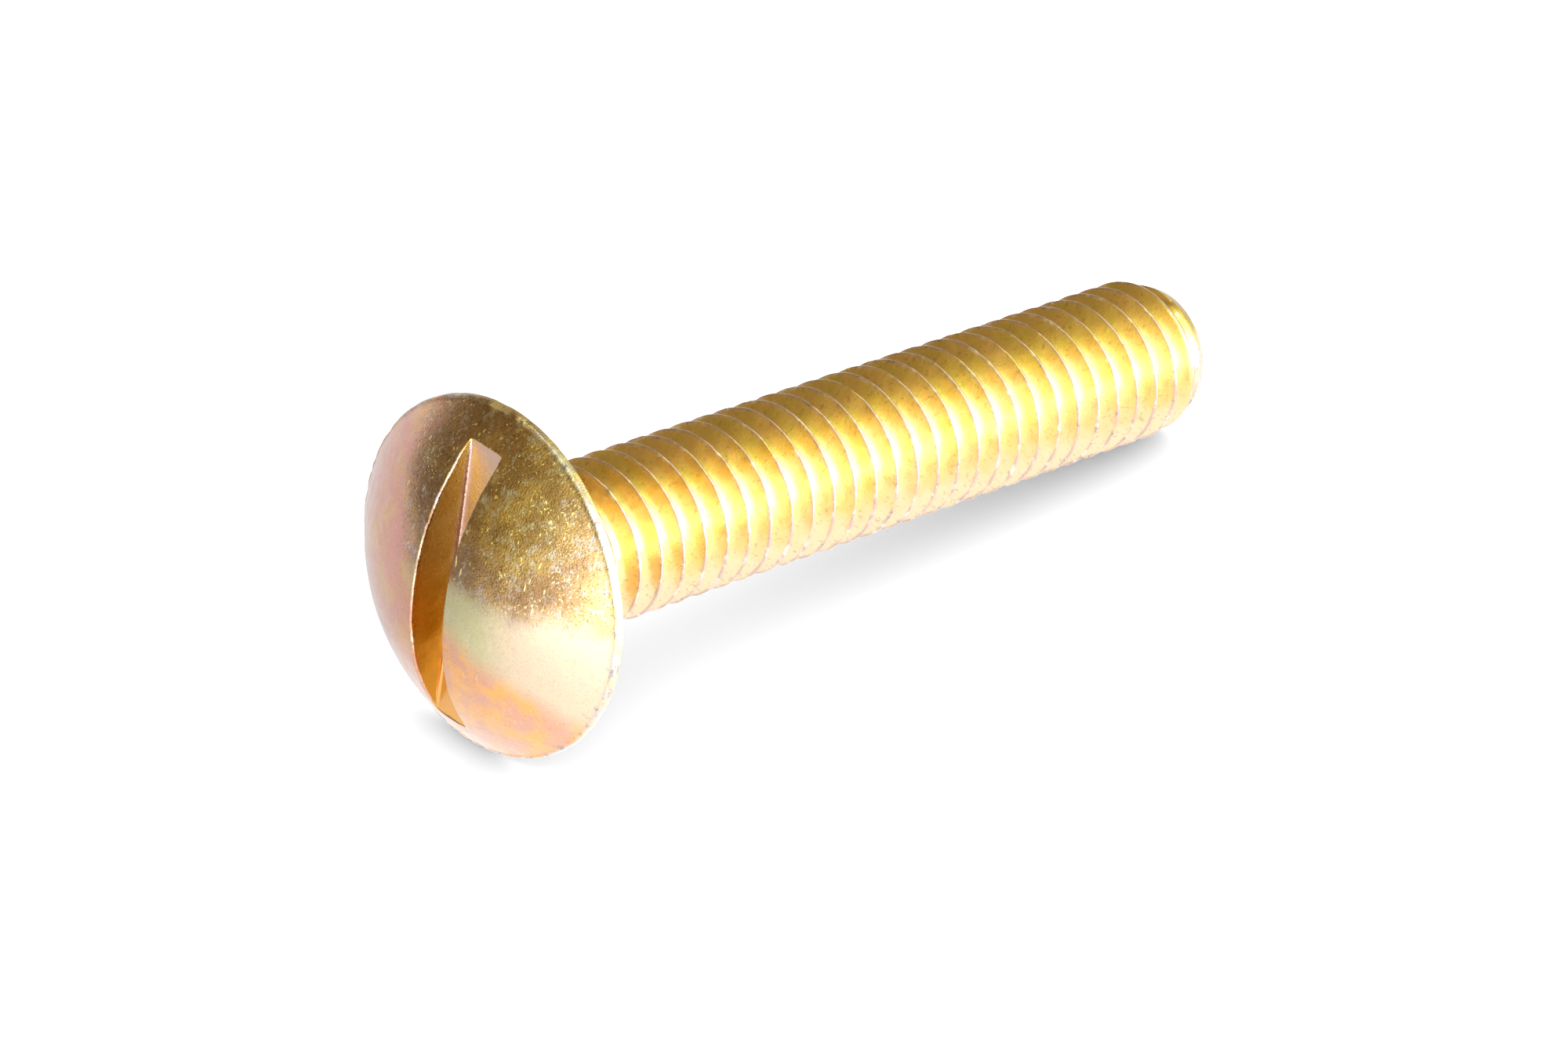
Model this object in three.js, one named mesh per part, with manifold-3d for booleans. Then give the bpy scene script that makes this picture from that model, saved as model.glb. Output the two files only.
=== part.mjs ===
import * as THREE from 'three';
import { mergeVertices } from 'three/addons/utils/BufferGeometryUtils.js';
import Module from 'manifold-3d';

// A slotted mushroom-head machine screw, M4 x 0.7, nominally 22 mm long, threaded along its whole
// shank and plated in yellow zinc. It is one piece of cold-headed steel, modelled as its two regions:
// the head, and the threaded shank that starts at the head's bearing face.
// Millimetres. +X runs along the axis from the head to the tip, the driver slot lies along Z, and
// the origin is the centre of the bearing face.

// Head: a dome on a short rim, flat underneath.
const HEAD_DIAMETER = 8.6;
const HEAD_HEIGHT = 2.06;
const RIM_HEIGHT = 0.18;
const RIM_CHAMFER = 0.06;
const DOME_POWER = 2.28;
const DOME_RINGS = 12;
const HEAD_SEGMENTS = 64;
const SEAT_INNER_RADIUS = 2.28;

// Driver slot, cut straight across the dome.
const SLOT_WIDTH = 1.04;
const SLOT_FLOOR_HEIGHT = 0.8;

// Shank and its rolled right-hand thread.
const SHANK_LENGTH = 22.3;
const PITCH = 0.7;
const CREST_RADIUS = 1.98;
const ROOT_RADIUS = 1.58;
const BLANK_RADIUS = 1.75;
const FLANK_ANGLE = THREE.MathUtils.degToRad(30);
const CREST_FLAT = PITCH / 8;
const CREST_X_AT_ZERO_ANGLE = 0.27;
const STEPS_PER_TURN = 24;
const LAST_CORNER = 3;

// Ends of the thread: it fades in past a short neck, and the turned end cuts it off. It's made with
// an overrun past the end, so that it is whole where the cut goes through it.
const FIRST_CREST_X = 0.75;
const FADE_IN_TURNS = 0.6;
const OVERRUN = 1.2;
const LAST_CREST_X = SHANK_LENGTH + OVERRUN / 2;
const STEP_ANGLE = (2 * Math.PI) / STEPS_PER_TURN;
const STEP_COUNT = Math.round(((LAST_CREST_X - FIRST_CREST_X) / PITCH) * STEPS_PER_TURN);
const FIRST_ANGLE = (2 * Math.PI * (FIRST_CREST_X - CREST_X_AT_ZERO_ANGLE)) / PITCH;

// Turned end: a taper, a small edge chamfer and a flat face.
const TIP_TAPER_LENGTH = 0.95;
const TIP_SHOULDER_RADIUS = 1.66;
const TIP_FACE_RADIUS = 1.52;
const TIP_EDGE_LENGTH = 0.1;
const TURNED_END_SEGMENTS = 48;

const WELD_DISTANCE = 1e-5;
const PLATING_COLOUR = 0xc9a13c;
const PLATING_ROUGHNESS = 0.38;

const wasm = await Module();
wasm.setup();

const platedSteel = new THREE.MeshStandardMaterial({
  color: PLATING_COLOUR,
  roughness: PLATING_ROUGHNESS,
  metalness: 1,
});

// Joins coincident vertices and drops the triangles that this closes up, as at a lathe's axis.
function weld(geometry) {
  const bare = geometry.clone();
  bare.deleteAttribute('normal');
  bare.deleteAttribute('uv');
  const merged = mergeVertices(bare, WELD_DISTANCE);
  const corners = merged.index.array;
  const kept = [];
  for (let i = 0; i < corners.length; i += 3) {
    const [a, b, c] = corners.slice(i, i + 3);
    if (a !== b && b !== c && c !== a) {
      kept.push(a, b, c);
    }
  }
  merged.setIndex(kept);
  return merged;
}

function toSolid(geometry) {
  const welded = weld(geometry);
  return new wasm.Manifold(new wasm.Mesh({
    numProp: 3,
    vertProperties: new Float32Array(welded.attributes.position.array),
    triVerts: new Uint32Array(welded.index.array),
  }));
}

function toGeometry(positions, corners) {
  const geometry = new THREE.BufferGeometry();
  geometry.setAttribute('position', new THREE.Float32BufferAttribute(positions, 3));
  geometry.setIndex(corners);
  geometry.computeVertexNormals();
  return geometry;
}

// Radius outwards and height above the bearing face, from the underside's centre, past the inner edge
// of the ring that bears on the panel, to the dome's top.
function headProfile() {
  const radius = HEAD_DIAMETER / 2;
  const points = [
    new THREE.Vector2(0, 0),
    new THREE.Vector2(SEAT_INNER_RADIUS, 0),
    new THREE.Vector2(radius - RIM_CHAMFER, 0),
    new THREE.Vector2(radius, RIM_CHAMFER),
  ];
  for (let ring = 0; ring <= DOME_RINGS; ring += 1) {
    const reach = Math.cos((ring / DOME_RINGS) * Math.PI / 2);
    const rise = (HEAD_HEIGHT - RIM_HEIGHT) * (1 - reach ** DOME_POWER);
    points.push(new THREE.Vector2(ring === DOME_RINGS ? 0 : radius * reach, RIM_HEIGHT + rise));
  }
  return points;
}

function headGeometry() {
  const blank = new THREE.LatheGeometry(headProfile(), HEAD_SEGMENTS);
  blank.rotateZ(Math.PI / 2);

  const slotDepth = HEAD_HEIGHT - SLOT_FLOOR_HEIGHT;
  const cutter = new THREE.BoxGeometry(2 * slotDepth, SLOT_WIDTH, 2 * HEAD_DIAMETER);
  cutter.translate(-SLOT_FLOOR_HEIGHT - slotDepth, 0, 0);

  const mesh = toSolid(blank).subtract(toSolid(cutter)).getMesh();
  return toGeometry(mesh.vertProperties, Array.from(mesh.triVerts));
}

// The four corners of the thread's section: root, crest, crest, root, as offsets along the axis.
function threadSection() {
  const flankRun = (CREST_RADIUS - ROOT_RADIUS) * Math.tan(FLANK_ANGLE);
  const crest = CREST_FLAT / 2;
  return [
    { offset: -crest - flankRun, radius: ROOT_RADIUS },
    { offset: -crest, radius: CREST_RADIUS },
    { offset: crest, radius: CREST_RADIUS },
    { offset: crest + flankRun, radius: ROOT_RADIUS },
  ];
}

// A surface of points round the screw's axis, and the triangles between them.
class RoundSurface {
  positions = [];
  corners = [];

  addPoint(x, radius, angle) {
    this.positions.push(x, radius * Math.cos(angle), radius * Math.sin(angle));
    return this.positions.length / 3 - 1;
  }

  addTriangle(a, b, c) {
    this.corners.push(a, b, c);
  }

  addQuad(a, b, c, d) {
    this.addTriangle(a, b, c);
    this.addTriangle(a, c, d);
  }

  // A ring lies half a step off the strip's angles, so that no triangle at the seam is flat.
  addRing(x, radius, angle) {
    const ring = [];
    for (let side = 0; side < STEPS_PER_TURN; side += 1) {
      ring.push(this.addPoint(x, radius, angle + (side + 0.5) * STEP_ANGLE));
    }
    return ring;
  }
}

// A helical strip of thread sections: the four points of each step, which fade in from the plain blank.
function addThreadStrip(surface) {
  const section = threadSection();
  const strip = [];
  for (let step = 0; step <= STEP_COUNT; step += 1) {
    const crestX = FIRST_CREST_X + (step * PITCH) / STEPS_PER_TURN;
    const fadeIn = Math.min(1, step / STEPS_PER_TURN / FADE_IN_TURNS);
    strip.push(section.map(({ offset, radius }) => {
      const rolled = THREE.MathUtils.lerp(BLANK_RADIUS, radius, fadeIn);
      return surface.addPoint(crestX + offset, rolled, FIRST_ANGLE + step * STEP_ANGLE);
    }));
  }
  return strip;
}

// The strip's own faces, and those that join its last corner to its first corner one turn later.
function coverStrip(surface, strip) {
  for (let step = 0; step < STEP_COUNT; step += 1) {
    for (let corner = 0; corner < LAST_CORNER; corner += 1) {
      surface.addQuad(strip[step][corner], strip[step + 1][corner],
        strip[step + 1][corner + 1], strip[step][corner + 1]);
    }
  }
  for (let step = 0; step + STEPS_PER_TURN < STEP_COUNT; step += 1) {
    const next = step + STEPS_PER_TURN;
    surface.addQuad(strip[step][LAST_CORNER], strip[step + 1][LAST_CORNER],
      strip[next + 1][0], strip[next][0]);
  }
}

// The neck under the head. The edge of the strip's first turn rises one pitch, and the first
// section closes that step.
function closeAtHead(surface, strip) {
  const neck = surface.addRing(0, BLANK_RADIUS, FIRST_ANGLE);
  const centre = surface.addPoint(0, 0, 0);
  for (let side = 0; side < STEPS_PER_TURN; side += 1) {
    const next = (side + 1) % STEPS_PER_TURN;
    surface.addTriangle(neck[side], strip[side + 1][0], strip[side][0]);
    surface.addTriangle(neck[side], neck[next], strip[next][0]);
    surface.addTriangle(centre, neck[next], neck[side]);
  }
  const seam = [...strip[0], strip[STEPS_PER_TURN][0]];
  for (let corner = 0; corner <= LAST_CORNER; corner += 1) {
    surface.addTriangle(neck[STEPS_PER_TURN - 1], seam[corner], seam[corner + 1]);
  }
}

// The far end, closed in the same way from the edge of the strip's last turn.
function closeAtFarEnd(surface, strip) {
  const rodEnd = SHANK_LENGTH + OVERRUN;
  const start = STEP_COUNT - STEPS_PER_TURN;
  const tail = surface.addRing(rodEnd, ROOT_RADIUS, FIRST_ANGLE + start * STEP_ANGLE);
  const centre = surface.addPoint(rodEnd, 0, 0);
  for (let side = 0; side < STEPS_PER_TURN; side += 1) {
    const next = tail[(side + 1) % STEPS_PER_TURN];
    const edge = strip[start + side + 1][LAST_CORNER];
    surface.addTriangle(tail[side], strip[start + side][LAST_CORNER], edge);
    surface.addTriangle(tail[side], edge, next);
    surface.addTriangle(centre, tail[side], next);
  }
  const seam = [strip[start][LAST_CORNER], ...strip[STEP_COUNT]];
  for (let corner = 0; corner <= LAST_CORNER; corner += 1) {
    surface.addTriangle(tail[0], seam[corner + 1], seam[corner]);
  }
}

// The whole threaded rod, from the head's bearing face to an overrun past the screw's end.
function rodGeometry() {
  const surface = new RoundSurface();
  const strip = addThreadStrip(surface);
  coverStrip(surface, strip);
  closeAtHead(surface, strip);
  closeAtFarEnd(surface, strip);
  return toGeometry(surface.positions, surface.corners);
}

// All that the turned end leaves: everything up to the taper, and what lies inside the taper and edge.
function turnedEndGeometry() {
  const taperStart = SHANK_LENGTH - TIP_TAPER_LENGTH;
  const kept = new THREE.LatheGeometry([
    new THREE.Vector2(0, -OVERRUN),
    new THREE.Vector2(HEAD_DIAMETER / 2, -OVERRUN),
    new THREE.Vector2(HEAD_DIAMETER / 2, taperStart),
    new THREE.Vector2(CREST_RADIUS, taperStart),
    new THREE.Vector2(TIP_SHOULDER_RADIUS, SHANK_LENGTH - TIP_EDGE_LENGTH),
    new THREE.Vector2(TIP_FACE_RADIUS, SHANK_LENGTH),
    new THREE.Vector2(0, SHANK_LENGTH),
  ], TURNED_END_SEGMENTS);
  kept.rotateZ(-Math.PI / 2);
  return kept;
}

function shankGeometry() {
  const mesh = toSolid(rodGeometry()).intersect(toSolid(turnedEndGeometry())).getMesh();
  return toGeometry(mesh.vertProperties, Array.from(mesh.triVerts));
}

const head = new THREE.Mesh(headGeometry(), platedSteel);
head.name = 'head';

const threadedShank = new THREE.Mesh(shankGeometry(), platedSteel);
threadedShank.name = 'threaded_shank';

const screw = new THREE.Group();
screw.add(head, threadedShank);

export default screw;
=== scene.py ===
import math
import bmesh
import bpy
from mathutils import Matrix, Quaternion, Vector, noise


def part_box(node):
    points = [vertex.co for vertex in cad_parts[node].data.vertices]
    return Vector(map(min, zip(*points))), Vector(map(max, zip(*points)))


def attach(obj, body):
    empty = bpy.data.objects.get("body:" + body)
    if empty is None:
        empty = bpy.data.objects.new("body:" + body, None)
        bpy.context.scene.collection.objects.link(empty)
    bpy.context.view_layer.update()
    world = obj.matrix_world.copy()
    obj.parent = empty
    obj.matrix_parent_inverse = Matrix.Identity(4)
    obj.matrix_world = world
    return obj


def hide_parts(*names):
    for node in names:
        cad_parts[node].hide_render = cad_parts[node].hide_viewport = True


# The looks of a slotted mushroom-head machine screw in yellow zinc plate, lying on a white floor.
# Lengths are millimetres in the row frame, and MM turns them into Blender's metres.
MM = 0.001

# Head, as the CAD has it.
HEAD_HEIGHT = 2.06
RIM_HEIGHT = 0.18
DOME_POWER = 2.28
SLOT_WIDTH = 1.04
SLOT_FLOOR_HEIGHT = 0.8

# Thread and shank, as the CAD has them.
PITCH = 0.7
CREST_RADIUS = 1.98
ROOT_RADIUS = 1.58
BLANK_RADIUS = 1.75
CREST_X_AT_ZERO_ANGLE = 0.27
FIRST_CREST_X = 0.75
LAST_CREST_INSET = 0.8
FADE_IN_TURNS = 0.6
FADE_OUT_TURNS = 0.05
THREAD_END_TURN = 31.31
TIP_TAPER_LENGTH = 0.95
TIP_TAPER_CURVE = 1.2
TIP_SHOULDER_RADIUS = 1.66
TIP_SHOULDER_INSET = 0.1
TIP_FACE_RADIUS = 1.52

# From here to the end, the tip is painted pale below its top, a painted highlight where the light falls on
# it.
TIP_HIGHLIGHT_X = 21.85

# Head details that the plain CAD leaves out.
RIM_ROUND = 0.07
RIM_FOOT_ROUND = 0.06
SLOT_EDGE_ROUND = 0.06
SLOT_FOOT_ROUND = 0.07
SLOT_DRAFT = 0.02
SLOT_RUN_OUT_DEPTH = 0.03
SLOT_SHAPED_DEPTH = 0.3
BURR_HEIGHT = 0.022
BURR_SPACING = 0.22
EDGE_WIDTH = 0.05
WALL_WAVE = 0.02
WALL_WAVE_LENGTH = 0.8
WALL_WAVE_REACH = 0.25
DENT_DEPTH = 0.012
BROAD_DENT_SIZE = 1.3
SMALL_DENT_SIZE = 0.45
RIM_CROWN = 0.16
RIM_SCUFF = 0.045
RIM_SCUFF_SIZE = 0.25
FACE_RING_SHARES = (0.97, 0.9, 0.8, 0.65, 0.5, 0.35)

# Thread details that the plain CAD leaves out.
CREST_HALF_FLAT = 0.022
CREST_CORNER = 0.014
CREST_DROP = 0.06
ROOT_BROADNESS = 1.8
CREST_START_LEVEL = 0.8
CREST_FULL_LEVEL = 0.92
NICK_DEPTH = 0.035
NICK_SIZE = 0.16
NICK_THRESHOLD = 0.2
CREST_WOBBLE = 0.018
CREST_WOBBLE_SIZE = 0.4
NECK_FILLET = 0.14
TIP_RING_SHARES = (0.85, 0.6, 0.3)

# Wear from 0 to 1, and the size of its patches.
WEAR_PATCH = 0.5
RIM_WEAR_PATCH = 0.35
RIM_TOP_WEAR = 1.0
RIM_SIDE_WEAR = 0.8
RIM_FOOT_WEAR = 0.7
DOME_EDGE_WEAR = 0.6
TIP_SHOULDER_WEAR = 0.3
# On the tip's rounded edge the worn crest colour is wear, and also painted shade that outlines the edge.
TIP_EDGE_WEAR_AND_SHADE = 0.8

# How finely the pieces are meshed.
DOME_COLUMNS = 64
HEAD_STATIONS = 180
RIM_RINGS = 10
ROUND_STEPS = 6
STEPS_PER_TURN = 96
FLANK_STEPS = 8
END_ROWS = 8
TIP_ROWS = 24

# The camera looks at a point on the shank from the head's side, rolled a little.
CAMERA_TARGET = (8.769, -0.647, -0.795)
CAMERA_DISTANCE = 155.17
CAMERA_AZIMUTH = math.radians(-48.29)
CAMERA_ELEVATION = math.radians(28.41)
CAMERA_ROLL = math.radians(8.97)
CAMERA_LENS = 150.48
CAMERA_SENSOR = 36.0
CAMERA_NEAR = 10.0
CAMERA_FAR = 4000.0

# The screw rests on the edge of its head and on the last thread crest.
REST_POINT_X = -0.1
LAST_CONTACT_X = 21.35
FLOOR_HALF_SIZE = 900.0

# Brightness of the studio, where 1 shows as white. The floor that the metal reflects goes from dim to
# bright between two distances towards the light, in millimetres.
FLOOR_COLOUR = (0.8, 0.8, 0.8, 1.0)
FLOOR_GLOW = 0.18
FLOOR_DIM_IN_METAL = 0.8
FLOOR_BRIGHT_IN_METAL = 2.9
FLOOR_DIM_END = -4.5
FLOOR_BRIGHT_START = 18.0
SKY_ON_FLOOR = 2.1
BACKDROP = 1.0

# What the metal reflects: a dim warm room that brightens towards the light's side, through yellow to cool
# white. The tints lie at these shares of the way from the dim side to the light.
LIGHT_AZIMUTH = -90.0
LIGHT_ELEVATION = 2.0
ROOM_DIM = 0.34
ROOM_RISE = 5.6
ROOM_CURVE = 3.0
ROOM_TINTS = (
    (0.3, (1.0, 0.8, 0.4, 1.0)),
    (0.57, (0.88, 0.97, 0.36, 1.0)),
    (0.8, (0.92, 0.93, 1.1, 1.0)),
)
WHITE = (1.0, 1.0, 1.0, 1.0)

# Soft boxes, as seen from the camera's target: azimuth and elevation of the centre, distance, width,
# height and radiance.
SOFT_BOXES = {
    "key_box": (-55.0, 6.0, 300.0, 190.0, 85.0, 5.0),
    "back_box": (85.0, 8.0, 350.0, 260.0, 160.0, 0.5),
    "top_box": (40.0, 78.0, 400.0, 200.0, 200.0, 1.2),
}

NOISE_SEED = Vector((3.7, 8.1, 5.3))


def lerp(low, high, share):
    return low + (high - low) * share


def clamp(value, low=0.0, high=1.0):
    return max(low, min(high, value))


def smooth(value):
    held = clamp(value)
    return held * held * (3.0 - 2.0 * held)


def ripple(point, feature_size):
    """Smooth noise from -1 to 1, whose bumps are about feature_size millimetres across."""
    return noise.noise(Vector(point) / feature_size + NOISE_SEED)


class Skin:
    """One mesh's faces and vertices, in millimetres. Each vertex has its wear and its depth in the slot."""

    def __init__(self):
        self.points = []
        self.marks = {"wear": [], "slot_depth": []}
        self.faces = []

    def add(self, point, wear=0.0, slot_depth=0.0):
        self.points.append(point)
        self.marks["wear"].append(wear)
        self.marks["slot_depth"].append(slot_depth)
        return len(self.points) - 1

    def band(self, low, high, closed=True):
        """Quads between two rows of vertices of the same length."""
        count = len(low) if closed else len(low) - 1
        for side in range(count):
            next_side = (side + 1) % len(low)
            self.faces.append((low[side], low[next_side], high[next_side], high[side]))

    def fan(self, centre, ring):
        for side in range(len(ring)):
            self.faces.append((centre, ring[side], ring[(side + 1) % len(ring)]))

    def stitch(self, first, second):
        """Triangles between two lines of vertices that run the same way along the axis."""
        i, j = 0, 0
        while i < len(first) - 1 or j < len(second) - 1:
            if j == len(second) - 1:
                on_first = True
            elif i == len(first) - 1:
                on_first = False
            else:
                ahead = self.points[first[i + 1]][0] - self.points[second[j + 1]][0]
                onward = self.points[first[-1]][0] - self.points[first[0]][0]
                on_first = ahead * onward < 0
            if on_first:
                self.faces.append((first[i], first[i + 1], second[j]))
                i += 1
            else:
                self.faces.append((first[i], second[j + 1], second[j]))
                j += 1

    def build(self, name, material):
        mesh = bpy.data.meshes.new(name)
        mesh.from_pydata([Vector(point) * MM for point in self.points], [], self.faces)
        skin = bmesh.new()
        skin.from_mesh(mesh)
        bmesh.ops.recalc_face_normals(skin, faces=skin.faces)
        skin.to_mesh(mesh)
        skin.free()
        for mark, values in self.marks.items():
            mesh.attributes.new(mark, "FLOAT", "POINT").data.foreach_set("value", values)
        mesh.materials.append(material)
        mesh.shade_smooth()
        piece = bpy.data.objects.new(name, mesh)
        bpy.context.scene.collection.objects.link(piece)
        return piece


def slot_columns(half_width):
    """One side of the slot, from its middle to just past its edge. Each column has its distance from the
    middle, its share of the wall's height, its rise over the floor and its drop below the dome."""
    columns = []
    flat = half_width - SLOT_DRAFT - SLOT_FOOT_ROUND
    for step in range(1, ROUND_STEPS):
        columns.append((flat * step / ROUND_STEPS, 0.0, 0.0, 0.0))
    for step in range(ROUND_STEPS + 1):
        turn = step / ROUND_STEPS * math.pi / 2
        rise = SLOT_FOOT_ROUND * (1 - math.cos(turn))
        columns.append((flat + SLOT_FOOT_ROUND * math.sin(turn), 0.0, rise, 0.0))
    wall_steps = 2 * ROUND_STEPS
    for step in range(1, wall_steps):
        share = step / wall_steps
        columns.append((half_width - SLOT_DRAFT * (1 - share), share, SLOT_FOOT_ROUND, SLOT_EDGE_ROUND))
    for step in range(ROUND_STEPS + 1):
        turn = step / ROUND_STEPS * math.pi / 2
        drop = SLOT_EDGE_ROUND * (1 - math.sin(turn))
        columns.append((half_width + SLOT_EDGE_ROUND * (1 - math.cos(turn)), 1.0, 0.0, drop))
    return columns


def build_head(material):
    _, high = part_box("head")
    radius = high.y / MM
    run_out_share = 1 - (SLOT_FLOOR_HEIGHT - RIM_HEIGHT) / (HEAD_HEIGHT - RIM_HEIGHT)
    run_out = radius * run_out_share ** (1 / DOME_POWER)
    half_width = SLOT_WIDTH / 2
    skin = Skin()

    def dome(distance):
        return RIM_HEIGHT + (HEAD_HEIGHT - RIM_HEIGHT) * (1 - (distance / radius) ** DOME_POWER)

    def dented(y, z, surface):
        """A little hollow here and there, as cold-headed and tumbled screws have."""
        broad = ripple((surface, y, z), BROAD_DENT_SIZE)
        local = ripple((surface + 9.0, y, z), SMALL_DENT_SIZE)
        return DENT_DEPTH * (0.6 * broad - max(0.0, local - 0.35) * 1.6)

    def edge_wear(side, z):
        return 0.5 + 0.5 * ripple((side * 4.0, 0.0, z), WEAR_PATCH)

    one_side = slot_columns(half_width)
    outer_edge = one_side[-1][0]
    edge_angle = math.acos(outer_edge / run_out)
    for step in range(1, DOME_COLUMNS + 1):
        angle = edge_angle * (1 - step / DOME_COLUMNS)
        one_side.append((run_out * math.cos(angle), 1.0, 0.0, 0.0))
    slot_count = len(slot_columns(half_width))
    columns = [(-1, index) for index in reversed(range(len(one_side) - 1))]
    columns += [(1, None)]
    columns += [(1, index) for index in range(len(one_side) - 1)]

    def column_point(side, index, station):
        """A point of the disc that the slot runs out on, its wear, and its depth in the slot, which is 1 on
        the floor and 0.5 on the walls."""
        if index is None:
            offset, share, rise, drop = 0.0, 0.0, 0.0, 0.0
        else:
            offset, share, rise, drop = one_side[index]
        spread = offset
        if index is not None and index < slot_count:
            spread = outer_edge * (index + 1) / slot_count
        along = math.sin(math.pi / 2 * station)
        z = along * math.sqrt(run_out ** 2 - min(spread, run_out) ** 2)
        depth = max(0.0, dome(math.hypot(half_width, z)) - SLOT_FLOOR_HEIGHT)
        opened = smooth(depth / SLOT_RUN_OUT_DEPTH) * (0.0 if abs(station) == 1 else 1.0)
        beyond = max(0.0, offset - half_width)
        near_wall = math.exp(-beyond / WALL_WAVE_REACH) if share > 0 else 0.0
        wave = WALL_WAVE * near_wall * opened * ripple((side * 5.0, 0.0, z), WALL_WAVE_LENGTH)
        y = side * (lerp(spread, offset, opened) + wave)
        surface = dome(math.hypot(y, z))
        surface += dented(y, z, surface)
        shaped = min(1.0, depth / SLOT_SHAPED_DEPTH)
        burr_here = max(0.0, 0.35 + ripple((side * 7.0, 0.0, z), BURR_SPACING))
        burr_here *= math.exp(-((beyond - SLOT_EDGE_ROUND) / EDGE_WIDTH) ** 2)
        burr = BURR_HEIGHT * burr_here * shaped * (1.0 if share == 1.0 else 0.0)
        if depth <= 0.0 or opened == 0.0:
            level = surface
        else:
            bottom = min(SLOT_FLOOR_HEIGHT, surface) + rise * shaped
            level = min(surface + burr, lerp(bottom, surface - drop * shaped + burr, share))
        wear = 0.0
        if share == 1.0:
            wear = math.exp(-(beyond / EDGE_WIDTH) ** 2) * shaped * edge_wear(side, z)
        slot_depth = (1.0 - 0.5 * smooth(share / 0.2) - 0.5 * smooth((share - 0.9) / 0.1)) * opened
        return (-level, y, z), wear, slot_depth

    rows = []
    for side, index in columns:
        rows.append([
            skin.add(*column_point(side, index, 2 * step / HEAD_STATIONS - 1))
            for step in range(1, HEAD_STATIONS)
        ])
    edge_level = dome(run_out)
    left_end = skin.add((-edge_level - dented(-run_out, 0.0, edge_level), -run_out, 0.0))
    right_end = skin.add((-edge_level - dented(run_out, 0.0, edge_level), run_out, 0.0))
    upper = []
    lower = []
    for side, index in columns:
        lower.append(skin.add(*column_point(side, index, -1)))
        upper.append(skin.add(*column_point(side, index, 1)))
    rows = [[low_end, *row, high_end] for low_end, row, high_end in zip(lower, rows, upper)]
    for first, second in zip(rows, rows[1:]):
        skin.band(first, second, closed=False)
    for near, tip in ((rows[0], left_end), (rows[-1], right_end)):
        for first, second in zip(near, near[1:]):
            skin.faces.append((tip, first, second) if near is rows[0] else (tip, second, first))

    boundary = [left_end, *upper, right_end, *reversed(lower)]
    directions = []
    for index in boundary:
        _, y, z = skin.points[index]
        length = math.hypot(y, z)
        directions.append((y / length, z / length))

    def ring_at(level, distance, wear=0.0):
        ring = []
        for y, z in directions:
            worn = wear * (0.6 + 0.6 * ripple((20.0, radius * y, radius * z), RIM_WEAR_PATCH))
            dip = dented(y * distance, z * distance, level) if 0.0 < level else 0.0
            scuff = RIM_SCUFF * wear * max(0.0, ripple((30.0, radius * y, radius * z), RIM_SCUFF_SIZE))
            reach = distance - scuff
            ring.append(skin.add((-(level + min(0.0, dip)), y * reach, z * reach), clamp(worn)))
        return ring

    # The dome outside the run-out, the rounded rim, and the flat bearing face.
    rings = [boundary]
    dome_end = radius - RIM_ROUND * 1.1
    for step in range(1, RIM_RINGS + 1):
        distance = lerp(run_out, dome_end, step / RIM_RINGS)
        edge_share = smooth((step / RIM_RINGS - 0.7) / 0.3)
        rings.append(ring_at(dome(distance), distance, wear=edge_share * DOME_EDGE_WEAR))
    dome_end_level = dome(dome_end)
    for step in range(1, ROUND_STEPS + 1):
        turn = step / ROUND_STEPS
        distance = lerp(dome_end, radius, math.sin(turn * math.pi / 2))
        level = lerp(dome_end_level, RIM_CROWN, 1 - math.cos(turn * math.pi / 2))
        rings.append(ring_at(level, distance, wear=RIM_TOP_WEAR))
    rings.append(ring_at(lerp(RIM_CROWN, RIM_FOOT_ROUND, 0.5), radius, wear=RIM_SIDE_WEAR))
    for step in range(ROUND_STEPS + 1):
        turn = step / ROUND_STEPS * math.pi / 2
        distance = radius - RIM_FOOT_ROUND * (1 - math.cos(turn))
        rings.append(ring_at(RIM_FOOT_ROUND * (1 - math.sin(turn)), distance, wear=RIM_FOOT_WEAR))
    for share in FACE_RING_SHARES:
        rings.append(ring_at(0.0, radius * share))
    for inner, outer in zip(rings, rings[1:]):
        skin.band(inner, outer)
    skin.fan(skin.add((0.0, 0.0, 0.0)), rings[-1])
    return skin.build("screw_head", material)


def thread_level(offset):
    """Height from 0 at the root to 1 at the crest, at an offset along the axis from the crest's middle."""
    away = abs(offset)
    shoulder = CREST_HALF_FLAT + CREST_CORNER
    if away <= CREST_HALF_FLAT:
        return 1.0
    if away <= shoulder:
        return 1.0 - CREST_DROP * ((away - CREST_HALF_FLAT) / CREST_CORNER) ** 2
    share = min(1.0, (away - shoulder) / (PITCH / 2 - shoulder))
    return (1.0 - CREST_DROP) * (1 - share) ** ROOT_BROADNESS


def thread_offsets():
    """Offsets from the crest's middle, over one pitch from root to root."""
    shoulder = CREST_HALF_FLAT + CREST_CORNER
    half = [CREST_HALF_FLAT, CREST_HALF_FLAT + CREST_CORNER * 0.6, shoulder]
    for step in range(1, FLANK_STEPS + 1):
        half.append(lerp(shoulder, PITCH / 2, step / FLANK_STEPS))
    return [*[-offset for offset in reversed(half)], *half[:-1]]


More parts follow.
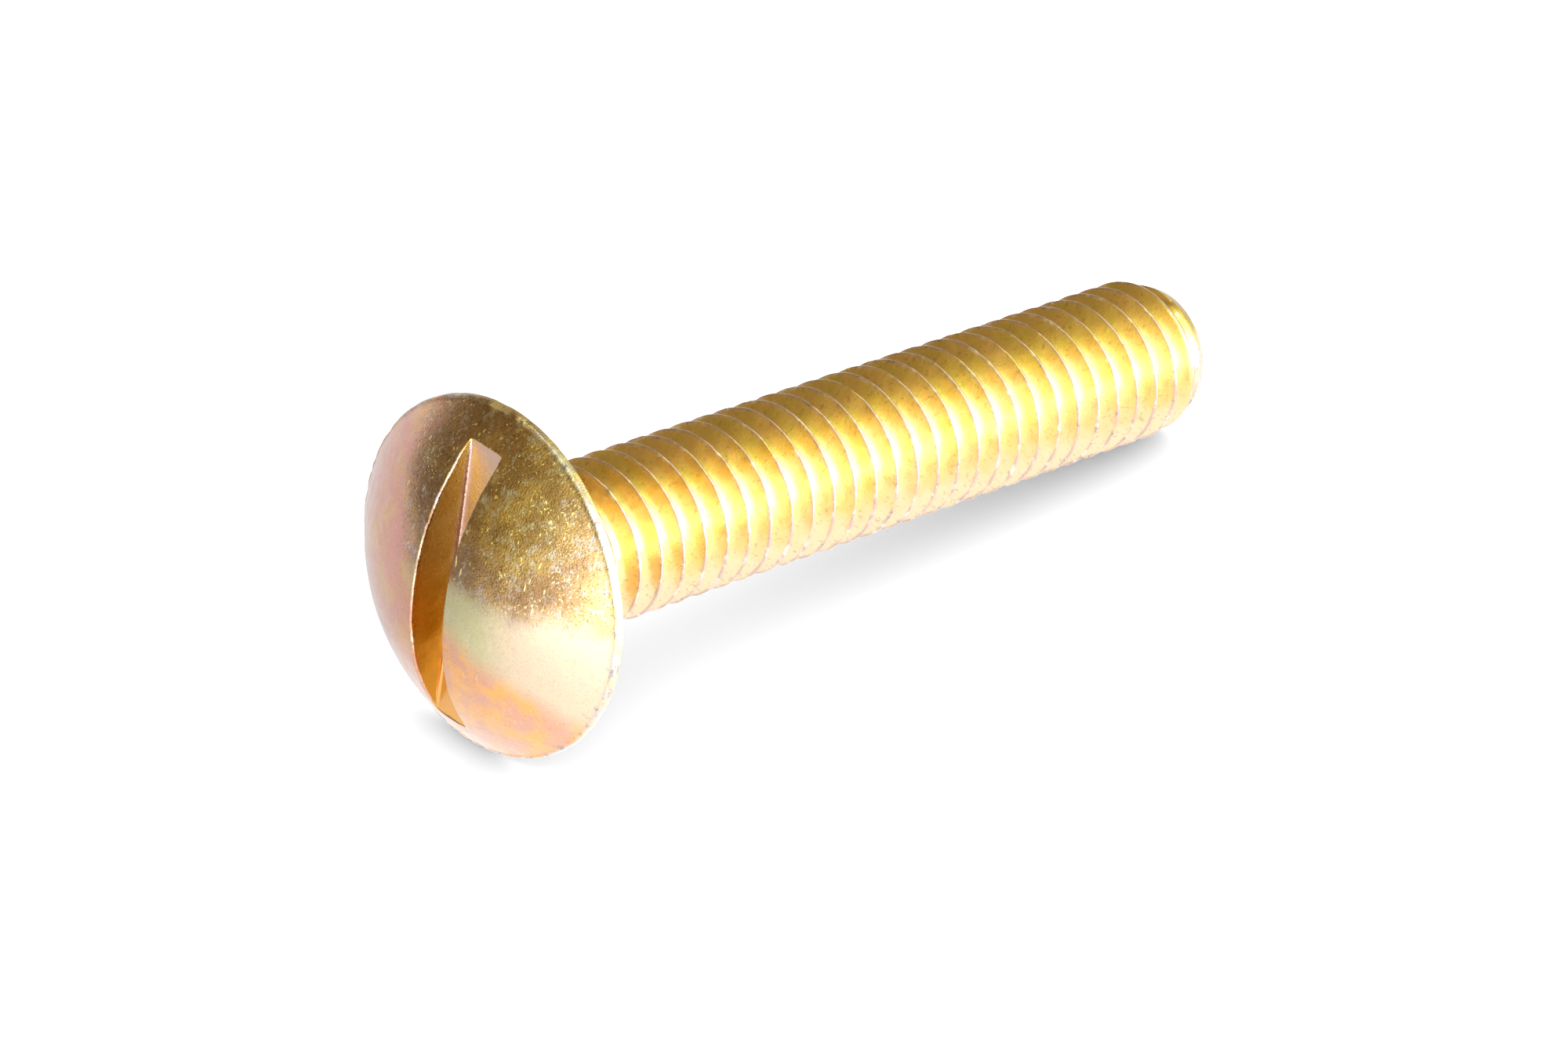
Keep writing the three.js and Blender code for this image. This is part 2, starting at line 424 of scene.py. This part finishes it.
def build_shank(material):
    _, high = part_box("threaded_shank")
    length = high.x / MM
    offsets = thread_offsets()
    last_corner = len(offsets) - 1
    step_count = round((length - LAST_CREST_INSET - FIRST_CREST_X) / PITCH * STEPS_PER_TURN)
    step_angle = 2 * math.pi / STEPS_PER_TURN
    first_turn = (FIRST_CREST_X - CREST_X_AT_ZERO_ANGLE) / PITCH
    first_angle = 2 * math.pi * first_turn
    skin = Skin()

    def around(x, radius, angle, wear=0.0):
        return skin.add((x, radius * math.cos(angle), radius * math.sin(angle)), wear)

    def tip_limit(x):
        share = clamp((x - length + TIP_TAPER_LENGTH) / (TIP_TAPER_LENGTH - TIP_SHOULDER_INSET))
        return lerp(CREST_RADIUS, TIP_SHOULDER_RADIUS, share ** TIP_TAPER_CURVE)

    def threaded(x, turn):
        """A vertex of the threaded surface where the helix has made so many turns, with its wear."""
        angle = 2 * math.pi * turn
        level = thread_level(x - CREST_X_AT_ZERO_ANGLE - PITCH * turn)
        fade_in = smooth((turn - first_turn) / FADE_IN_TURNS)
        fade_out = smooth((THREAD_END_TURN - turn) / FADE_OUT_TURNS)
        on_crest = smooth((level - CREST_START_LEVEL) / (CREST_FULL_LEVEL - CREST_START_LEVEL))
        place = (x, 2 * math.cos(angle), 2 * math.sin(angle))
        nick = NICK_DEPTH * on_crest * max(0.0, ripple(place, NICK_SIZE) - NICK_THRESHOLD)
        wobble = CREST_WOBBLE * level * fade_in * fade_out * ripple(place, CREST_WOBBLE_SIZE)
        radius = lerp(ROOT_RADIUS, CREST_RADIUS, level) - nick
        limit = tip_limit(x)
        rolled = lerp(BLANK_RADIUS, min(radius, limit), fade_in)
        worn = on_crest * (0.75 + 0.5 * ripple(place, WEAR_PATCH)) * fade_in * fade_out
        return around(x + wobble, lerp(min(limit, BLANK_RADIUS), rolled, fade_out), angle, clamp(worn))

    strip = []
    for step in range(step_count + 1):
        turn = first_turn + step / STEPS_PER_TURN
        crest_x = CREST_X_AT_ZERO_ANGLE + PITCH * turn
        strip.append([threaded(crest_x + offset, turn) for offset in offsets])
    for first, second in zip(strip, strip[1:]):
        skin.band(second, first, closed=False)
    for step in range(step_count - STEPS_PER_TURN):
        later = step + STEPS_PER_TURN
        this_end, next_end = strip[step][last_corner], strip[step + 1][last_corner]
        skin.faces.append((next_end, this_end, strip[later][0], strip[later + 1][0]))

    def morph(index, x_ring, ring_radius):
        """A line of vertices from a vertex of the thread's edge, along the axis to an end ring."""
        x, y, z = skin.points[index]
        start_radius = math.hypot(y, z)
        angle = math.atan2(z, y)
        line = [index]
        for row in range(1, END_ROWS + 1):
            share = row / END_ROWS
            radius = lerp(start_radius, ring_radius, smooth(share))
            line.append(around(lerp(x, x_ring, share), radius, angle))
        return line

    def run_out(index, x_ring, ring_radius):
        """The same at the tip, where the last of the thread still shows until it meets the ring."""
        x, y, z = skin.points[index]
        angle = math.atan2(z, y)
        line = [index]
        for row in range(1, TIP_ROWS):
            place = lerp(x, x_ring, row / TIP_ROWS)
            turns = (place - CREST_X_AT_ZERO_ANGLE) / PITCH
            whole = round(turns - angle / (2 * math.pi))
            line.append(threaded(place, whole + angle / (2 * math.pi)))
        line.append(around(x_ring, ring_radius, angle, TIP_SHOULDER_WEAR))
        return line

    # The neck, from the edge of the first turn to a fillet under the head.
    neck = [morph(strip[side][0], NECK_FILLET, BLANK_RADIUS) for side in range(STEPS_PER_TURN)]
    neck_angles = [first_angle + side * step_angle for side in range(STEPS_PER_TURN)]
    for first, second in zip(neck, neck[1:]):
        skin.band(first, second, closed=False)
    skin.stitch(neck[-1], [strip[STEPS_PER_TURN][0], *reversed(strip[0]), *neck[0][1:]])
    rings = [[line[-1] for line in neck]]
    for step in range(1, ROUND_STEPS + 1):
        turn = step / ROUND_STEPS * math.pi / 2
        x = NECK_FILLET * (1 - math.sin(turn))
        radius = BLANK_RADIUS + NECK_FILLET * (1 - math.cos(turn))
        rings.append([around(x, radius, angle) for angle in neck_angles])
    for first, second in zip(rings, rings[1:]):
        skin.band(first, second)
    skin.fan(skin.add((0.0, 0.0, 0.0)), rings[-1])

    # The tip, from the edge of the last turn to a rounded edge and the flat end.
    tail = step_count - STEPS_PER_TURN
    shoulder_x = length - TIP_SHOULDER_INSET
    tip = [
        run_out(strip[tail + side][last_corner], shoulder_x, TIP_SHOULDER_RADIUS)
        for side in range(1, STEPS_PER_TURN + 1)
    ]
    for first, second in zip(tip, tip[1:]):
        skin.band(first, second, closed=False)
    skin.stitch([strip[tail][last_corner], *strip[step_count], *tip[-1][1:]], tip[0])
    rings = [[line[-1] for line in tip]]
    tail_angles = [first_angle + (tail + 1 + side) * step_angle for side in range(STEPS_PER_TURN)]
    for step in range(1, ROUND_STEPS + 1):
        turn = step / ROUND_STEPS * math.pi / 2
        x = lerp(shoulder_x, length, math.sin(turn))
        radius = lerp(TIP_SHOULDER_RADIUS, TIP_FACE_RADIUS, 1 - math.cos(turn))
        # Worn crest colour on the tip's edge, strengthened as painted shade along its outline.
        rings.append([around(x, radius, angle, TIP_EDGE_WEAR_AND_SHADE) for angle in tail_angles])
    for share in TIP_RING_SHARES:
        rings.append([around(length, share * TIP_FACE_RADIUS, angle) for angle in tail_angles])
    for first, second in zip(rings, rings[1:]):
        skin.band(first, second)
    skin.fan(skin.add((length, 0.0, 0.0)), rings[-1])
    return skin.build("screw_shank", material)


class Shader:
    """A material's nodes, with short names for the few kinds that the plating uses."""

    def __init__(self, name):
        self.material = bpy.data.materials.new(name)
        self.material.use_nodes = True
        self.tree = self.material.node_tree
        self.tree.nodes.clear()
        place = self.node("ShaderNodeTexCoord").outputs["Object"]
        self.place = self.node(
            "ShaderNodeVectorMath", {0: place, "Scale": 1 / MM}, operation="SCALE"
        ).outputs["Vector"]

    def node(self, kind, inputs=None, **settings):
        made = self.tree.nodes.new(kind)
        for key, value in settings.items():
            setattr(made, key, value)
        for key, value in (inputs or {}).items():
            if isinstance(value, bpy.types.NodeSocket):
                self.tree.links.new(value, made.inputs[key])
            else:
                made.inputs[key].default_value = value
        return made

    def axes(self):
        parts = self.node("ShaderNodeSeparateXYZ", {"Vector": self.place}).outputs
        return parts["X"], parts["Y"], parts["Z"]

    def noise(self, feature_size, detail=2.0, roughness=0.5, shift=0.0, stretch=None):
        """Noise from 0 to 1 with bumps about feature_size millimetres across."""
        place = self.place
        if shift or stretch:
            place = self.node(
                "ShaderNodeMapping",
                {"Vector": place, "Location": (shift, shift, shift), "Scale": stretch or (1.0, 1.0, 1.0)},
            ).outputs["Vector"]
        made = self.node(
            "ShaderNodeTexNoise",
            {"Vector": place, "Scale": 1 / feature_size, "Detail": detail, "Roughness": roughness},
        )
        return made.outputs["Fac"]

    def span(self, value, low, high, to_low=0.0, to_high=1.0):
        """Value's smooth way from low to high, as a number from to_low to to_high."""
        made = self.node(
            "ShaderNodeMapRange",
            {"Value": value, "From Min": low, "From Max": high, "To Min": to_low, "To Max": to_high},
            interpolation_type="SMOOTHSTEP",
        )
        return made.outputs["Result"]

    def maths(self, operation, first, second=0.0, third=0.5):
        inputs = {0: first, 1: second, 2: third}
        return self.node("ShaderNodeMath", inputs, operation=operation).outputs["Value"]

    def mix(self, share, first, second):
        made = self.node("ShaderNodeMix", {0: share, 6: first, 7: second}, data_type="RGBA")
        return made.outputs[2]

    def mark(self, name):
        return self.node("ShaderNodeAttribute", attribute_name=name).outputs["Fac"]

    def bump(self, height, depth, normal=None):
        """The normal over a height from 0 to 1 that stands for depth millimetres."""
        inputs = {"Height": height, "Distance": depth * MM}
        if normal is not None:
            inputs["Normal"] = normal
        return self.node("ShaderNodeBump", inputs).outputs["Normal"]

    def finish(self, colour, roughness, normal):
        surface = self.node(
            "ShaderNodeBsdfPrincipled",
            {
                "Base Color": colour,
                "Metallic": 1.0,
                "Roughness": roughness,
                "Normal": normal,
                "Coat Weight": COAT_WEIGHT,
                "Coat Roughness": COAT_ROUGHNESS,
                "Coat Normal": normal,
            },
        )
        output = self.node("ShaderNodeOutputMaterial")
        self.tree.links.new(surface.outputs["BSDF"], output.inputs["Surface"])
        return self.material


# The plating's colours: it is gold, with thinner and thicker places where the film shows other tints, and
# some colours below are painted light and shade.
GOLD = (0.84, 0.53, 0.18, 1.0)
OLIVE = (0.76, 0.53, 0.13, 1.0)
# SHADED_BRONZE and SHADED_UMBER_GOLD: bronze film tints, darkened as painted shade on the dome's top.
SHADED_BRONZE = (0.30, 0.155, 0.06, 1.0)
SHADED_UMBER_GOLD = (0.47, 0.28, 0.10, 1.0)
# SHADED_WALL_GOLD: a darker gold that stands for painted shade on the slot's walls.
SHADED_WALL_GOLD = (0.60, 0.41, 0.045, 1.0)
PINK = (0.80, 0.36, 0.30, 1.0)
SALMON = (0.80, 0.41, 0.26, 1.0)
LIME = (0.60, 0.54, 0.29, 1.0)
PALE_GOLD = (0.70, 0.54, 0.37, 1.0)
PEACH = (0.70, 0.34, 0.20, 1.0)
ORANGE = (0.84, 0.40, 0.09, 1.0)
AMBER = (0.80, 0.47, 0.22, 1.0)
BLUSH = (0.68, 0.47, 0.40, 1.0)
# UNDERSIDE_AND_SHEEN: the head's bearing face, and on the shank's lower side a pale sheen painted as the
# floor's reflection.
UNDERSIDE_AND_SHEEN = (0.86, 0.67, 0.40, 1.0)
CREST = (0.64, 0.43, 0.33, 1.0)
CREST_BRIGHT = (0.90, 0.78, 0.68, 1.0)
CREAM = (0.95, 0.80, 0.50, 1.0)
RIM_PALE = (0.56, 0.48, 0.44, 1.0)
HAZE = (0.52, 0.46, 0.47, 1.0)
SPOT = (0.15, 0.08, 0.02, 1.0)
CHIP = (0.20, 0.17, 0.17, 1.0)
# The tip's pale zone is a painted highlight.
PAINTED_TIP_HIGHLIGHT = (0.60, 0.54, 0.45, 1.0)
# PAINTED_GLINT: painted glints of crystal faces and scratches catching the light.
PAINTED_GLINT = (1.0, 0.80, 0.36, 1.0)
COAT_WEIGHT = 1.0
COAT_ROUGHNESS = 0.18

# How coarse the smooth side of the dome is, where the rough side is 1.
SMOOTH_SIDE_GRAIN = 0.2

# The dome's colour zones: each pair is where a zone starts and where it is full, in millimetres. The pink
# side leans away with height, the low zone is slanted, and noise moves their borders. The upper zone's dark
# bronze is a film tint deepened by painted shade, standing for the dark room that the dome's top reflects.
PINK_Y = (0.2, 1.5)
LEAN_Z = (0.6, 3.2)
LEAN_DISTANCE = 1.2
LOW_Z = (0.25, -0.75)
LOW_SLANT = -0.5
SHADED_UPPER_Z = (0.0, 0.9)
SHADED_UPPER_BORDER_NOISE = 1.8
ROUGH_Y = (1.6, 0.6)
GOLD_EDGE_Y = (-3.0, -4.2)
PALE_BAND_Y = (-1.4, -2.6)
UNDERSIDE_X = (-0.25, -0.05)
SLOT_FLOOR_BLUSH_Z = (-1.5, 0.5)
RIM_SIDE_Y = (0.65, 0.85)

# The shank's: its pale underside, a painted reflection of the bright floor, and how low the painted
# highlight on the tip starts and is full.
SHANK_PAINTED_SHEEN_Z = (0.2, -1.0)
TIP_HIGHLIGHT_Z = (1.2, 0.6)
TIP_HIGHLIGHT_BORDER = 0.1

# The worn mark's range over which an edge turns from plated to worn.
WORN = (0.3, 0.8)


def grain(shader, coarse):
    """The plating's fine grain over slight unevenness, with coarser crystals where coarse is near 1."""
    normal = shader.bump(shader.noise(0.3, detail=2.0, shift=2.0), 0.006)
    normal = shader.bump(shader.noise(0.06, detail=3.0, roughness=0.6), 0.002, normal)
    crystals = shader.maths("MULTIPLY", shader.noise(0.045, detail=2.0, shift=9.0), coarse)
    return shader.bump(crystals, 0.012, normal)


def speckled(shader, colour, where):
    """The colour broken up, where it is rough, by haze, dark pits, and painted glints on crystal faces and
    along scratches.
    """
    haze = shader.span(shader.noise(0.28, detail=5.0, roughness=0.75, shift=17.0), 0.5, 0.66, 0.0, 0.75)
    colour = shader.mix(shader.maths("MULTIPLY", haze, where), colour, HAZE)
    pits = shader.span(shader.noise(0.07, detail=3.0, roughness=0.7, shift=23.0), 0.5, 0.66, 0.0, 0.7)
    colour = shader.mix(shader.maths("MULTIPLY", pits, where), colour, SPOT)
    # Crystal faces and scratches get painted glints.
    faces = shader.span(shader.noise(0.065, detail=2.0, shift=41.0), 0.6, 0.68)
    clusters = shader.span(shader.noise(0.6, detail=2.0, shift=31.0), 0.45, 0.65)
    faces = shader.maths("MULTIPLY", faces, clusters)
    colour = shader.mix(shader.maths("MULTIPLY", faces, where), colour, PAINTED_GLINT)
    lines = shader.noise(0.07, detail=0.0, shift=53.0, stretch=(1.0, 1.0, 0.08))
    scratches = shader.maths("MULTIPLY", shader.span(lines, 0.76, 0.8), where)
    return shader.mix(scratches, colour, PAINTED_GLINT)


def head_material():
    shader = Shader("plated_head")
    x, y, z = shader.axes()
    shifted = shader.maths("SUBTRACT", shader.noise(1.6, detail=4.0, roughness=0.6), 0.5)
    across = shader.maths("ADD", y, shifted)
    lean = shader.span(z, *LEAN_Z, 0.0, LEAN_DISTANCE)
    left = shader.span(shader.maths("SUBTRACT", across, lean), *PINK_Y)
    slanted = shader.maths("MULTIPLY", y, LOW_SLANT)
    low = shader.span(shader.maths("ADD", shader.maths("ADD", z, slanted), shifted), *LOW_Z)
    # The upper zone: a bronze film tint, darkened as painted shade where the dome's top reflects the dark
    # room.
    upper = shader.span(shader.maths("MULTIPLY_ADD", shifted, SHADED_UPPER_BORDER_NOISE, z), *SHADED_UPPER_Z)
    rough_side = shader.maths("MULTIPLY", upper, shader.span(shader.maths("SUBTRACT", y, lean), *ROUGH_Y))
    colour = shader.mix(shader.span(shader.noise(0.7, shift=11.0), 0.4, 0.7), SHADED_BRONZE, SHADED_UMBER_GOLD)
    colour = shader.mix(shader.span(across, *GOLD_EDGE_Y), colour, GOLD)
    band = shader.mix(shader.span(across, *PALE_BAND_Y), LIME, PALE_GOLD)
    colour = shader.mix(upper, band, colour)
    patches = shader.mix(shader.span(shader.noise(0.6, detail=4.0, shift=37.0), 0.4, 0.62), PEACH, ORANGE)
    colour = shader.mix(low, colour, patches)
    blushed = shader.span(shader.noise(0.5, detail=4.0, roughness=0.65, shift=47.0), 0.35, 0.7)
    gilded = shader.span(shader.noise(0.8, detail=4.0, shift=61.0), 0.48, 0.64, 0.0, 0.8)
    rosy = shader.mix(gilded, shader.mix(blushed, PINK, SALMON), AMBER)
    colour = shader.mix(left, colour, rosy)
    coarse = shader.maths("MULTIPLY_ADD", rough_side, 1.0 - SMOOTH_SIDE_GRAIN, SMOOTH_SIDE_GRAIN)
    colour = speckled(shader, colour, coarse)
    stained = shader.span(shader.noise(0.9, detail=3.0, shift=43.0), 0.35, 0.65, 0.0, 0.5)
    underneath = shader.mix(stained, UNDERSIDE_AND_SHEEN, OLIVE)
    colour = shader.mix(shader.span(x, *UNDERSIDE_X), colour, underneath)
    specks = shader.span(shader.noise(0.11, detail=3.0, roughness=0.7, shift=29.0), 0.66, 0.74, 0.0, 0.45)
    colour = shader.mix(specks, colour, SPOT)
    slot_depth = shader.mark("slot_depth")
    # The slot's walls are painted a darker gold, painted shade in the recess.
    colour = shader.mix(shader.span(slot_depth, 0.05, 0.3), colour, SHADED_WALL_GOLD)
    floor_colour = shader.mix(shader.span(z, *SLOT_FLOOR_BLUSH_Z), ORANGE, BLUSH)
    colour = shader.mix(shader.span(slot_depth, 0.7, 0.95), colour, floor_colour)
    edge = shader.mix(shader.span(shader.maths("ABSOLUTE", y), *RIM_SIDE_Y), CREAM, RIM_PALE)
    wear = shader.mark("wear")
    colour = shader.mix(shader.span(wear, *WORN), colour, edge)
    chips = shader.span(shader.noise(0.2, detail=3.0, roughness=0.7, shift=59.0), 0.52, 0.6, 0.0, 0.9)
    colour = shader.mix(shader.maths("MULTIPLY", chips, wear), colour, CHIP)
    roughness = shader.span(shader.noise(0.3, shift=5.0), 0.3, 0.7, 0.2, 0.32)
    return shader.finish(colour, roughness, grain(shader, coarse))


def shank_material():
    shader = Shader("plated_shank")
    x, _, z = shader.axes()
    colour = shader.mix(shader.span(shader.noise(1.2, shift=3.0), 0.35, 0.65), GOLD, OLIVE)
    shifted = shader.maths("SUBTRACT", shader.noise(0.5, detail=3.0), 0.5)
    # A painted highlight on the tip, below its top.
    border = (TIP_HIGHLIGHT_X - TIP_HIGHLIGHT_BORDER, TIP_HIGHLIGHT_X + TIP_HIGHLIGHT_BORDER)
    tip_highlight = shader.span(shader.maths("ADD", x, shifted), *border, 0.0, 0.85)
    colour = shader.mix(shader.maths("MULTIPLY", tip_highlight, shader.span(z, *TIP_HIGHLIGHT_Z)), colour, PAINTED_TIP_HIGHLIGHT)
    # The shank's lower side is painted pale, a painted reflection of the bright floor beneath it.
    colour = shader.mix(shader.span(shader.maths("ADD", z, shifted), *SHANK_PAINTED_SHEEN_Z), colour, UNDERSIDE_AND_SHEEN)
    mottle = shader.span(shader.noise(0.12, detail=3.0, shift=13.0), 0.55, 0.75, 0.0, 0.35)
    colour = shader.mix(mottle, colour, SPOT)
    wear = shader.mark("wear")
    rubbed = shader.span(shader.noise(0.25, detail=3.0, shift=71.0), 0.5, 0.72)
    crest = shader.mix(rubbed, CREST, CREST_BRIGHT)
    colour = shader.mix(shader.span(wear, *WORN), colour, crest)
    chips = shader.span(shader.noise(0.2, detail=3.0, roughness=0.7, shift=67.0), 0.56, 0.7, 0.0, 0.7)
    colour = shader.mix(shader.maths("MULTIPLY", chips, wear), colour, CHIP)
    roughness = shader.span(shader.noise(0.3, shift=5.0), 0.3, 0.7, 0.18, 0.28)
    roughness = shader.maths("ADD", roughness, shader.maths("MULTIPLY", wear, 0.1))
    coarse = shader.span(shader.noise(1.1, shift=7.0), 0.4, 0.6, 0.05, 0.3)
    return shader.finish(colour, roughness, grain(shader, coarse))


def direction(azimuth, elevation):
    """A unit vector, with the azimuth measured from +X towards +Y."""
    a, e = math.radians(azimuth), math.radians(elevation)
    return Vector((math.cos(a) * math.cos(e), math.sin(a) * math.cos(e), math.sin(e)))


def make_floor():
    """A floor that slopes up to the shank. Glossy rays see it as a glow, and from below it is clear."""
    head_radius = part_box("head")[1].y / MM
    slope = (CREST_RADIUS - head_radius) / (REST_POINT_X - LAST_CONTACT_X)
    corners = []
    for x in (-FLOOR_HALF_SIZE, FLOOR_HALF_SIZE):
        for y in (-FLOOR_HALF_SIZE, FLOOR_HALF_SIZE):
            z = -head_radius + slope * (x - REST_POINT_X)
            corners.append(Vector((x, y, z)) * MM)
    mesh = bpy.data.meshes.new("floor")
    mesh.from_pydata(corners, [], [(0, 2, 3, 1)])
    material = bpy.data.materials.new("floor")
    material.use_nodes = True
    tree = material.node_tree
    surface = tree.nodes["Principled BSDF"]
    surface.inputs["Base Color"].default_value = FLOOR_COLOUR
    surface.inputs["Roughness"].default_value = 1.0
    surface.inputs["Specular IOR Level"].default_value = 0.0
    surface.inputs["Emission Color"].default_value = WHITE
    surface.inputs["Emission Strength"].default_value = FLOOR_GLOW
    place = tree.nodes.new("ShaderNodeTexCoord")
    towards_light = tree.nodes.new("ShaderNodeVectorMath")
    towards_light.operation = "DOT_PRODUCT"
    towards_light.inputs[1].default_value = direction(LIGHT_AZIMUTH, 0.0)
    strength = tree.nodes.new("ShaderNodeMapRange")
    strength.inputs["From Min"].default_value = FLOOR_DIM_END * MM
    strength.inputs["From Max"].default_value = FLOOR_BRIGHT_START * MM
    strength.inputs["To Min"].default_value = FLOOR_DIM_IN_METAL
    strength.inputs["To Max"].default_value = FLOOR_BRIGHT_IN_METAL
    in_metal = tree.nodes.new("ShaderNodeEmission")
    rays = tree.nodes.new("ShaderNodeLightPath")
    by_ray = tree.nodes.new("ShaderNodeMixShader")
    side = tree.nodes.new("ShaderNodeNewGeometry")
    clear = tree.nodes.new("ShaderNodeBsdfTransparent")
    by_side = tree.nodes.new("ShaderNodeMixShader")
    for source, target in (
        (place.outputs["Object"], towards_light.inputs[0]),
        (towards_light.outputs["Value"], strength.inputs["Value"]),
        (strength.outputs["Result"], in_metal.inputs["Strength"]),
        (rays.outputs["Is Glossy Ray"], by_ray.inputs[0]),
        (surface.outputs["BSDF"], by_ray.inputs[1]),
        (in_metal.outputs["Emission"], by_ray.inputs[2]),
        (side.outputs["Backfacing"], by_side.inputs[0]),
        (by_ray.outputs["Shader"], by_side.inputs[1]),
        (clear.outputs["BSDF"], by_side.inputs[2]),
        (by_side.outputs["Shader"], tree.nodes["Material Output"].inputs["Surface"]),
    ):
        tree.links.new(source, target)
    mesh.materials.append(material)
    floor = bpy.data.objects.new("floor", mesh)
    bpy.context.scene.collection.objects.link(floor)


def make_room():
    """The metal reflects one background, another lights the floor, and the camera sees a white one."""
    world = bpy.data.worlds.new("studio")
    bpy.context.scene.world = world
    world.cycles.sampling_method = "NONE"
    world.use_nodes = True
    tree = world.node_tree
    tree.nodes.clear()
    place = tree.nodes.new("ShaderNodeTexCoord")
    facing = tree.nodes.new("ShaderNodeVectorMath")
    facing.operation = "DOT_PRODUCT"
    facing.inputs[1].default_value = direction(LIGHT_AZIMUTH, LIGHT_ELEVATION)
    share = tree.nodes.new("ShaderNodeMapRange")
    share.inputs["From Min"].default_value = -1.0
    curve = tree.nodes.new("ShaderNodeMath")
    curve.operation = "POWER"
    curve.inputs[1].default_value = ROOM_CURVE
    total = tree.nodes.new("ShaderNodeMath")
    total.operation = "MULTIPLY_ADD"
    total.inputs[1].default_value = ROOM_RISE
    total.inputs[2].default_value = ROOM_DIM
    tint = tree.nodes.new("ShaderNodeValToRGB")
    stops = tint.color_ramp.elements
    while len(stops) < len(ROOM_TINTS):
        stops.new(1.0)
    for stop, (position, colour) in zip(stops, ROOM_TINTS):
        stop.position = position
        stop.color = colour
    reflected = tree.nodes.new("ShaderNodeBackground")
    on_floor = tree.nodes.new("ShaderNodeBackground")
    backdrop = tree.nodes.new("ShaderNodeBackground")
    for background, strength in ((on_floor, SKY_ON_FLOOR), (backdrop, BACKDROP)):
        background.inputs["Strength"].default_value = strength
        background.inputs["Color"].default_value = WHITE
    rays = tree.nodes.new("ShaderNodeLightPath")
    by_diffuse = tree.nodes.new("ShaderNodeMixShader")
    by_camera = tree.nodes.new("ShaderNodeMixShader")
    output = tree.nodes.new("ShaderNodeOutputWorld")
    for source, target in (
        (place.outputs["Generated"], facing.inputs[0]),
        (facing.outputs["Value"], share.inputs["Value"]),
        (share.outputs["Result"], curve.inputs[0]),
        (curve.outputs["Value"], total.inputs[0]),
        (total.outputs["Value"], reflected.inputs["Strength"]),
        (share.outputs["Result"], tint.inputs["Fac"]),
        (tint.outputs["Color"], reflected.inputs["Color"]),
        (rays.outputs["Is Diffuse Ray"], by_diffuse.inputs[0]),
        (reflected.outputs["Background"], by_diffuse.inputs[1]),
        (on_floor.outputs["Background"], by_diffuse.inputs[2]),
        (rays.outputs["Is Camera Ray"], by_camera.inputs[0]),
        (by_diffuse.outputs["Shader"], by_camera.inputs[1]),
        (backdrop.outputs["Background"], by_camera.inputs[2]),
        (by_camera.outputs["Shader"], output.inputs["Surface"]),
    ):
        tree.links.new(source, target)


def make_soft_box(name, azimuth, elevation, distance, width, height, radiance):
    light = bpy.data.lights.new(name, "AREA")
    light.shape = "RECTANGLE"
    light.size = width * MM
    light.size_y = height * MM
    light.energy = radiance * math.pi * light.size * light.size_y
    box = bpy.data.objects.new(name, light)
    outward = direction(azimuth, elevation)
    box.location = (Vector(CAMERA_TARGET) + outward * distance) * MM
    box.rotation_mode = "QUATERNION"
    box.rotation_quaternion = (-outward).to_track_quat("-Z", "Y")
    box.visible_camera = False
    box.visible_diffuse = False
    bpy.context.scene.collection.objects.link(box)


def make_camera():
    sine, cosine = math.sin(CAMERA_AZIMUTH), math.cos(CAMERA_AZIMUTH)
    level = math.cos(CAMERA_ELEVATION)
    back = Vector((sine * level, -cosine * level, math.sin(CAMERA_ELEVATION)))
    lens = bpy.data.cameras.new("camera")
    lens.lens = CAMERA_LENS
    lens.sensor_width = CAMERA_SENSOR
    lens.clip_start = CAMERA_NEAR * MM
    lens.clip_end = CAMERA_FAR * MM
    camera = bpy.data.objects.new("camera", lens)
    camera.location = (Vector(CAMERA_TARGET) + back * CAMERA_DISTANCE) * MM
    camera.rotation_mode = "QUATERNION"
    camera.rotation_quaternion = Quaternion(back, CAMERA_ROLL) @ (-back).to_track_quat("-Z", "Y")
    bpy.context.scene.collection.objects.link(camera)
    bpy.context.scene.camera = camera


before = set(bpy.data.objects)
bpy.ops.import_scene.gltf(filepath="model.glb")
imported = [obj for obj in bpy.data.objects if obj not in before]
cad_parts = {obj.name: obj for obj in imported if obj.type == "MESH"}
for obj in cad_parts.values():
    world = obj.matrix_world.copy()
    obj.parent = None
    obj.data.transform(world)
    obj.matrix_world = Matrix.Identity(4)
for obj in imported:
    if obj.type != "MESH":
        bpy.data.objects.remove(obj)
bpy.context.scene.cycles.caustics_reflective = False
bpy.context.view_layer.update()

make_camera()
make_room()
make_floor()
for box_name, facts in SOFT_BOXES.items():
    make_soft_box(box_name, *facts)
bpy.context.scene.view_settings.view_transform = "Standard"

screw_head = build_head(head_material())
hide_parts("head")
screw_shank = build_shank(shank_material())
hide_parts("threaded_shank")
for piece in (screw_head, screw_shank):
    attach(piece, "root")

bpy.context.view_layer.update()
